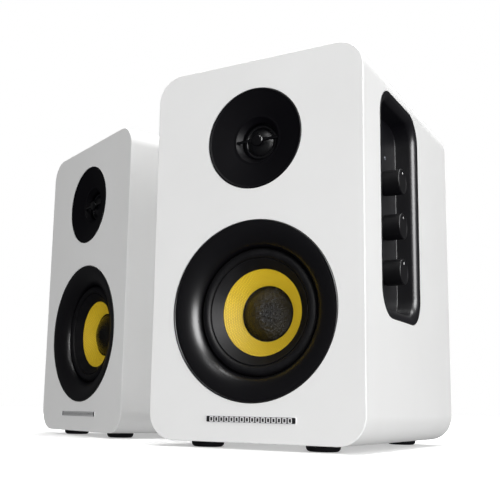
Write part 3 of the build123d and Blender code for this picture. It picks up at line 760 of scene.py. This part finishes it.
def port(speaker):
    """Straight air tube with a quarter-round flare and a thin flange behind."""
    inner, outer, back = 17.5, 20.0, DEPTH + 2.5
    profile = rounded_path((inner, DEPTH - 96), (inner, back, 10.4), (PORT_FLANGE, back, 0.9),
                           (PORT_FLANGE, DEPTH + 0.02), (outer, DEPTH + 0.02), (outer, DEPTH - 96))
    shell = Shell().grid(turned(profile, PORT_Z, turns=128), across=True)
    return piece(speaker.node("port_flare"), shell, speaker, speaker.body, FINISH["port_black"],
                 40, stands_for=(speaker.node("port_tube"),))


# ---- controls on the active speaker ----
def bezel():
    """Tray: a wide rounded lip, drafted walls, a small fillet and a flat floor."""
    loop, normals = outline(PANEL_W, PANEL_H, PANEL_R)
    deep = SIDE - FLOOR
    profile = rounded_path((10.5, deep), (7.6, deep, 0.4), (6.4, 0.0, 5.2), (0.0, 0.0, 0.35), (0.0, deep + 2),
                           (10.5, deep + 2))
    grid = carried(loop, normals, profile, on_side)
    shell = Shell().grid(grid).flat(grid[0]).flat(grid[-1])
    return piece("control_tray", shell, ACTIVE, ACTIVE.body, FINISH["bezel_black"], 45,
                 stands_for=("control_bezel",))


def knob(word):
    """Plain round knob: chamfered skirt, soft front edge, sunk cap and a painted index dot."""
    low, high = span(word + "_knob")
    y, z, radius = (low[1] + high[1]) / 2, (low[2] + high[2]) / 2, (high[1] - low[1]) / 2
    base, cap = FLOOR + 0.6, high[0]
    profile = rounded_path((0.0, low[0]), (3.0, low[0]), (3.0, base), (radius - 0.5, base, 0.3),
                           (radius, base + 1.2, 0.3), (radius, cap, 0.75), (radius - 1.3, cap - 0.02, 0.2),
                           (radius - 1.7, cap - 0.3, 0.2), (0.0, cap - 0.3))
    body = word + "_control"
    piece(word + "_grip", Shell().grid(turned_sideways(profile, y, z)), ACTIVE, body, FINISH["knob_black"],
          40, stands_for=(word + "_knob",))
    dot = rounded_path((0.0, cap - 0.5), (0.75, cap - 0.5), (0.75, cap - 0.2, 0.12), (0.0, cap - 0.12))
    piece(word + "_index_dot", Shell().grid(turned_sideways(dot, y, z + radius - 3.1, 32)), ACTIVE, body,
          MARK_WHITE, 40)


def led():
    """Small domed lens standing out of the tray floor."""
    low, high = span("status_led")
    y, z = (low[1] + high[1]) / 2, (low[2] + high[2]) / 2
    profile = rounded_path((0.0, low[0]), (1.5, low[0]), (1.5, high[0], 0.7), (0.0, high[0]))
    return piece("status_lens", Shell().grid(turned_sideways(profile, y, z, 40)), ACTIVE, ACTIVE.body,
                 FINISH["led_lens"], 50, stands_for=("status_led",))


def phono_jacks():
    """Two plated barrels with a chamfered mouth, their coloured collars and centre pins, the small
    stereo jack's ring, and the moulded bodies behind the plate."""
    low, high = span("input_jacks")
    face = span("amp_plate")[1][1]
    z, reach = (low[2] + high[2]) / 2, high[1] - face
    phono_x, stereo_x = {"red": -42.0, "white": -22.0}, 2.0
    collar_finish = {"red": FINISH["lever_red"], "white": MARK_WHITE}

    def lathe(x, *corners):
        return turned(np.array(corners, float), z, face, 40, x)

    plating = Shell()
    for x in phono_x.values():
        plating.grid(lathe(x, (3.55, -1), (4.15, -1), (4.15, reach - 0.5), (3.85, reach), (3.45, reach),
                           (3.45, 0.5)), across=True)
        plating.grid(lathe(x, (0.9, -9), (1.6, -9), (1.6, reach - 3.5), (0.9, reach - 3.5)), across=True)
    plating.grid(lathe(stereo_x, (1.85, -9), (4.0, -9), (4.0, 1.1), (3.6, 1.5), (2.2, 1.5), (1.85, 1.2)),
                 across=True)
    piece("jack_barrels", plating, ACTIVE, ACTIVE.body, FINISH["jack_nickel"], 35,
          stands_for=("input_jacks",))

    bodies = Shell()
    sizes_of = [(x, 16.0, 10.0) for x in phono_x.values()] + [(stereo_x, 12.0, 12.0)]
    for x, side, depth in sizes_of:
        loop, normals = outline(side, side, 0.6, steps=3)
        edges = np.array([(0.0, DEPTH - depth), (0.0, DEPTH - 0.6), (0.6, DEPTH - 0.02)])
        block = carried(loop, normals, edges, lambda u, v, deep: np.stack([u + x, deep, v + z], -1))
        bodies.grid(block).flat(block[0]).flat(block[-1])
    piece("jack_bodies", bodies, ACTIVE, ACTIVE.body, FINISH["fitting_black"], 35)

    for tone, x in phono_x.items():
        collar = lathe(x, (1.7, -6), (3.4, -6), (3.4, reach - 1.6), (3.1, reach - 1.3), (1.95, reach - 1.3),
                       (1.7, reach - 1.6))
        piece(tone + "_collar", Shell().grid(collar, across=True), ACTIVE, ACTIVE.body, collar_finish[tone],
              35)


def dress(node, slot_name, bevel_mm=0.0):
    """Gives a kept node its finish, welded and creased shading, and softened edges."""
    thing = frame["nodes"][node]
    thing.data.materials.clear()
    thing.data.materials.append(FINISH[slot_name])
    thing.data.polygons.foreach_set("use_smooth", np.ones(len(thing.data.polygons), bool))
    weld = thing.modifiers.new("weld", "WELD")
    weld.merge_threshold = 2e-6
    if bevel_mm:
        bevel = thing.modifiers.new("soft_edges", "BEVEL")
        bevel.width, bevel.segments = bevel_mm * MM, 2
        bevel.limit_method, bevel.angle_limit = "ANGLE", math.radians(50)
    split = thing.modifiers.new("creases", "EDGE_SPLIT")
    split.split_angle = math.radians(38)
    even = thing.modifiers.new("even_normals", "WEIGHTED_NORMAL")
    even.keep_sharp = True


for speaker in (ACTIVE, PASSIVE):
    cabinet(speaker, speaker is ACTIVE)
    trim_ring(speaker)
    surround(speaker)
    cone(speaker)
    dust_cap(speaker)
    faceplate(speaker)
    bridge(speaker)
    dome(speaker)
    badge(speaker)
    feet(speaker)
    port(speaker)
bezel()
for word in ("volume", "bass", "treble"):
    knob(word)
led()
phono_jacks()

EDGE_WIDTH = {"power_rocker": 0.35, "lever_positive": 0.5, "lever_negative": 0.5, "transformer": 0.4}
SLOT_OF = {row["node"]: row["material_slot"] for row in frame["record"]["subparts"]}
for node, thing in frame["nodes"].items():
    if not thing.hide_render:
        part = node.replace("active_", "").replace("passive_", "")
        dress(node, SLOT_OF[node], EDGE_WIDTH.get(part, 0.0))


# ---- camera, floor and light ----
def camera():
    """Low in front of the active speaker's right side, tilted up."""
    sight = bpy.data.cameras.new("camera")
    sight.sensor_width, sight.lens = 36.0, 57.9
    sight.shift_x, sight.shift_y = 0.05, 0.05
    yaw, pitch, roll = (math.radians(angle) for angle in (29.728, 9.433, 1.102))
    ahead = np.array([-math.sin(yaw) * math.cos(pitch), math.cos(yaw) * math.cos(pitch), math.sin(pitch)])
    right = np.array([math.cos(yaw), math.sin(yaw), 0.0])
    up = np.cross(right, ahead)
    x = right * math.cos(roll) + up * math.sin(roll)
    y = up * math.cos(roll) - right * math.sin(roll)
    where = (HOME + (241.8, -458.8, 21.4 + BOTTOM)) * MM
    made = bpy.data.objects.new("camera", sight)
    made.matrix_world = Matrix(np.vstack([np.stack([x, y, -ahead, where], 1), [0, 0, 0, 1]]).tolist())
    bpy.context.scene.collection.objects.link(made)
    bpy.context.scene.camera = made


def floor():
    """A wide pale matt floor that glows more away from the middle, and casts and mirrors nothing."""
    data = bpy.data.meshes.new("floor")
    half = 6.0
    corners = [(-half, -half, 0), (half, -half, 0), (half, half, 0), (-half, half, 0)]
    data.from_pydata(corners, [], [(0, 1, 2, 3)])
    f = Finish("floor_paper", Roughness=0.9, Specular_IOR_Level=0.1, Emission_Strength=1.0)
    cloud = f.noise(90.0, 3.0)
    reach = f.node("ShaderNodeVectorMath", {"operation": "LENGTH"}, [f.point()], output="Value")
    glow = f.mix(f.band(reach, 0.25, 1.1), (0.24, 0.24, 0.24), (1.0, 1.0, 1.0))
    f.tree.links.new(glow.socket, f.shader.inputs["Emission Color"])
    data.materials.append(f.surface(f.mix(cloud, (0.86, 0.86, 0.86), (0.9, 0.9, 0.9))))
    made = bpy.data.objects.new("floor", data)
    made.visible_glossy = made.visible_diffuse = made.visible_shadow = False
    bpy.context.scene.collection.objects.link(made)


def softbox(name, toward, distance, size, power, shine=True, body=True):
    """An area light of some width and height that looks at the pair's middle from a direction; it
    can be left out of the shine or out of the plain lighting."""
    lamp = bpy.data.lights.new(name, "AREA")
    lamp.shape, lamp.energy = "RECTANGLE", power
    lamp.size, lamp.size_y = size
    made = bpy.data.objects.new(name, lamp)
    made.visible_glossy, made.visible_diffuse = shine, body
    toward = Vector(toward).normalized()
    aim = Vector((0.04, -0.05, 0.13))
    made.location = aim + toward * distance
    made.rotation_mode = "QUATERNION"
    made.rotation_quaternion = toward.to_track_quat("Z", "Y")
    bpy.context.scene.collection.objects.link(made)


def world():
    """White to the eye, a softer grey for the light it gives."""
    made = bpy.data.worlds.new("studio")
    made.use_nodes = True
    tree = made.node_tree
    seen = tree.nodes.new("ShaderNodeLightPath")
    mix = tree.nodes.new("ShaderNodeMixShader")
    lit = tree.nodes["Background"]
    lit.inputs["Color"].default_value = (1, 1, 1, 1)
    lit.inputs["Strength"].default_value = 0.06
    white = tree.nodes.new("ShaderNodeBackground")
    white.inputs["Color"].default_value = (1, 1, 1, 1)
    white.inputs["Strength"].default_value = 1.0
    tree.links.new(seen.outputs["Is Camera Ray"], mix.inputs[0])
    tree.links.new(lit.outputs[0], mix.inputs[1])
    tree.links.new(white.outputs[0], mix.inputs[2])
    tree.links.new(mix.outputs[0], tree.nodes["World Output"].inputs["Surface"])
    bpy.context.scene.world = made


camera()
floor()
world()
softbox("key", (0.82, -0.42, 0.38), 1.5, (0.5, 1.3), 5.0, shine=False)
softbox("key_sheen", (0.84, -0.43, 0.36), 1.5, (1.0, 1.2), 72.0, body=False)
softbox("high_front", (0.2, -0.6, 0.78), 1.7, (0.4, 0.4), 3.0)
softbox("top", (0.1, 0.1, 1.0), 1.6, (1.0, 1.0), 42.0)
softbox("side_fill", (0.97, -0.25, 0.0), 1.6, (0.8, 0.8), 14.0, shine=False)
softbox("front_fill", (-0.05, -0.95, 0.02), 1.8, (0.8, 0.8), 10.0, shine=False)
softbox("left_fill", (-0.75, -0.8, 0.1), 1.7, (0.8, 0.8), 4.2, shine=False)
softbox("bounce", (0.4, -0.5, -0.75), 1.5, (1.2, 1.2), 9.0, shine=False)
softbox("back", (-0.55, 0.9, 0.3), 1.8, (1.0, 1.0), 22.0)
bpy.context.scene.view_settings.view_transform = "Standard"
